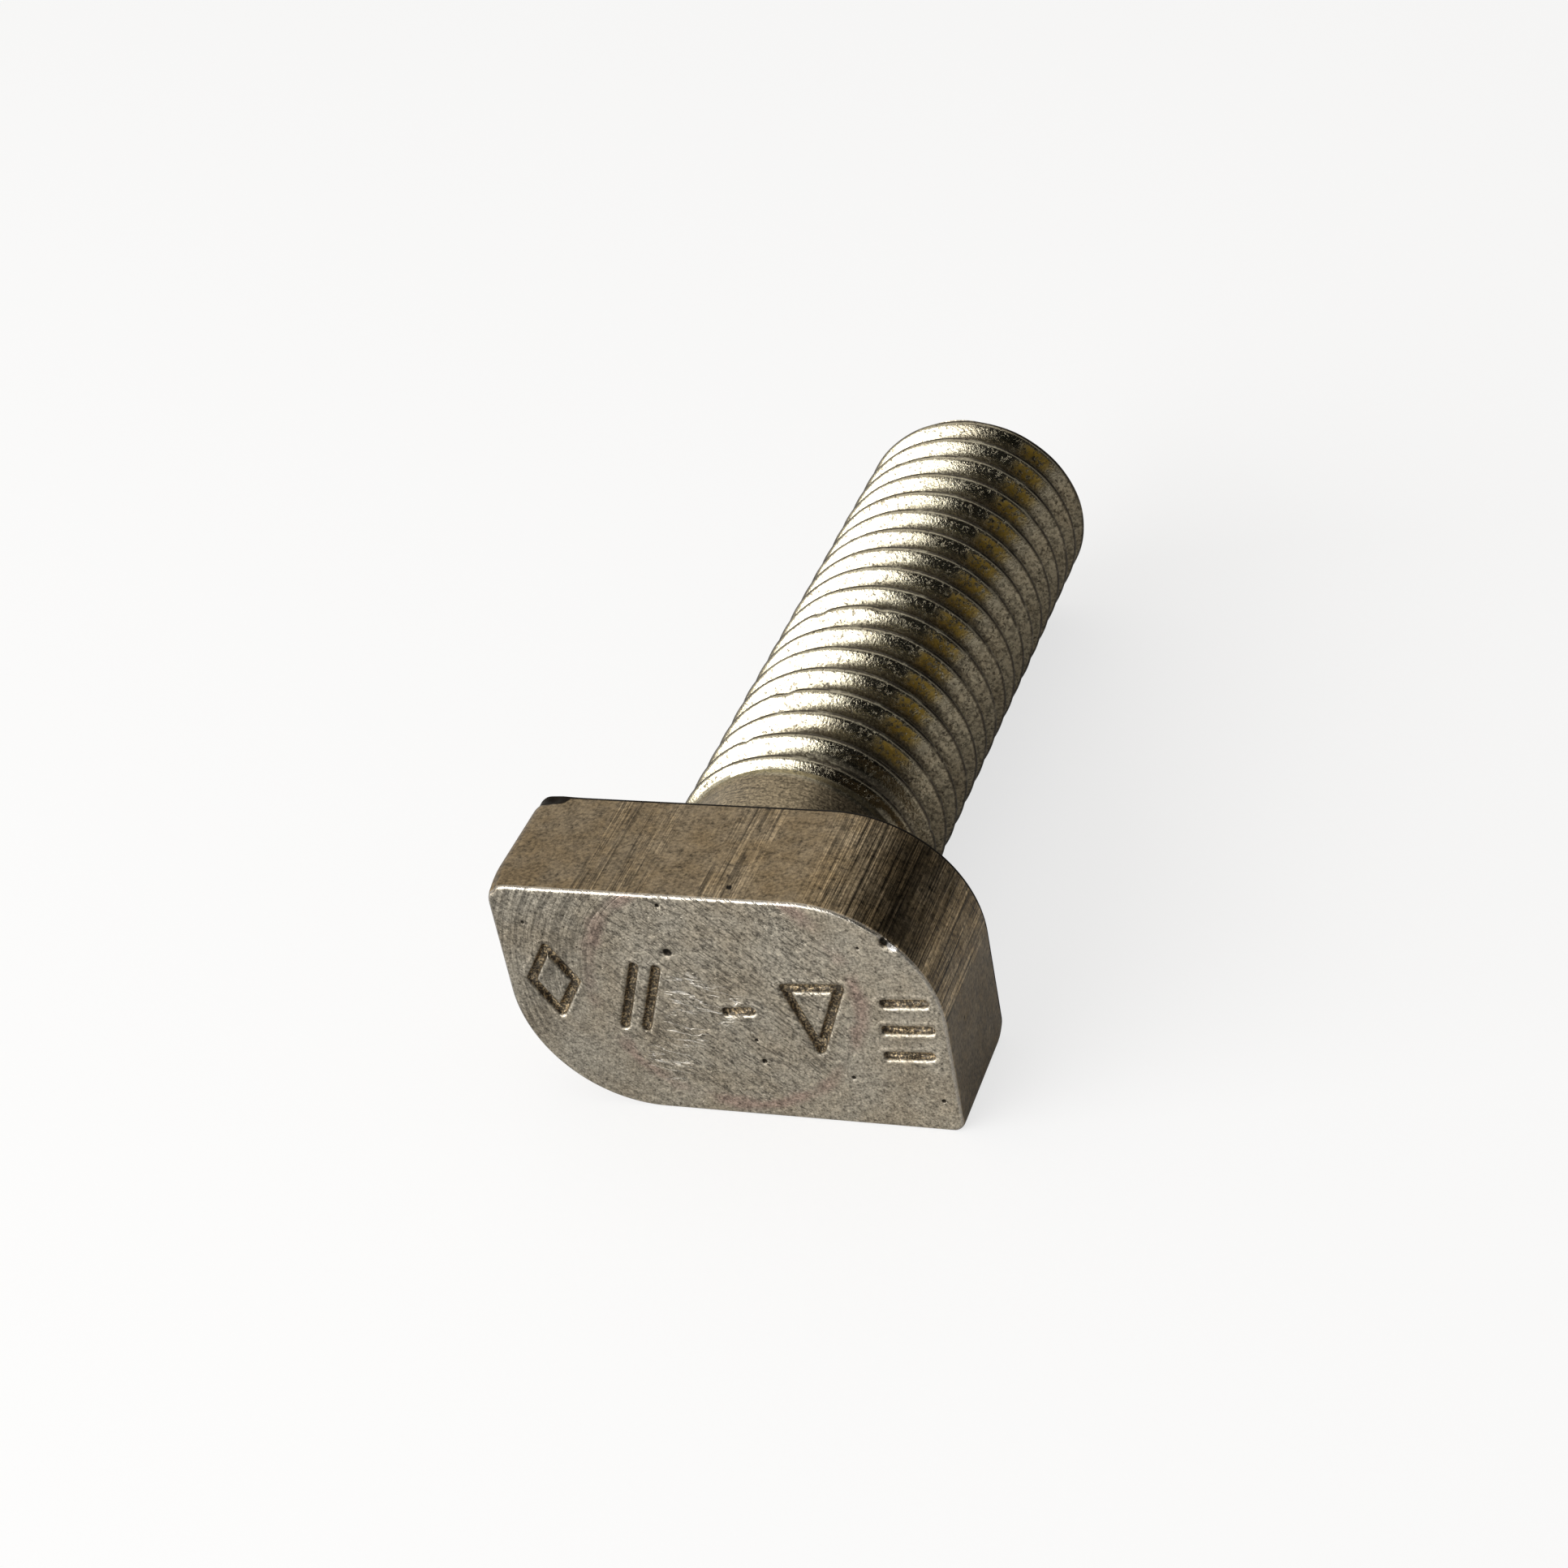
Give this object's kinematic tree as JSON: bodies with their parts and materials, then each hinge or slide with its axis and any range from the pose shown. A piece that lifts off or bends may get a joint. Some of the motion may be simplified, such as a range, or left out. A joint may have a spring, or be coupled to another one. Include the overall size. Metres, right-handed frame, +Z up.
{
  "type": "t slot bolt",
  "caption": "T slot bolt with a flat hammer head, square at two opposite corners and round at the others, on a short plain neck and a rolled right-hand thread with a chamfered tip.",
  "frame": {"origin": "centre of the head's bearing face, on the shank's axis", "axes": "+Y along the shank to its tip, +X along the head's long side, +Z up as the bolt lies on the head's long side and its tip"},
  "size_m": [0.0168, 0.0357, 0.01],
  "materials": {
    "steel": "satin, as forged and rolled"
  },
  "bodies": {
    "root": {"t_slot_bolt": "steel"}
  },
  "joints": []
}
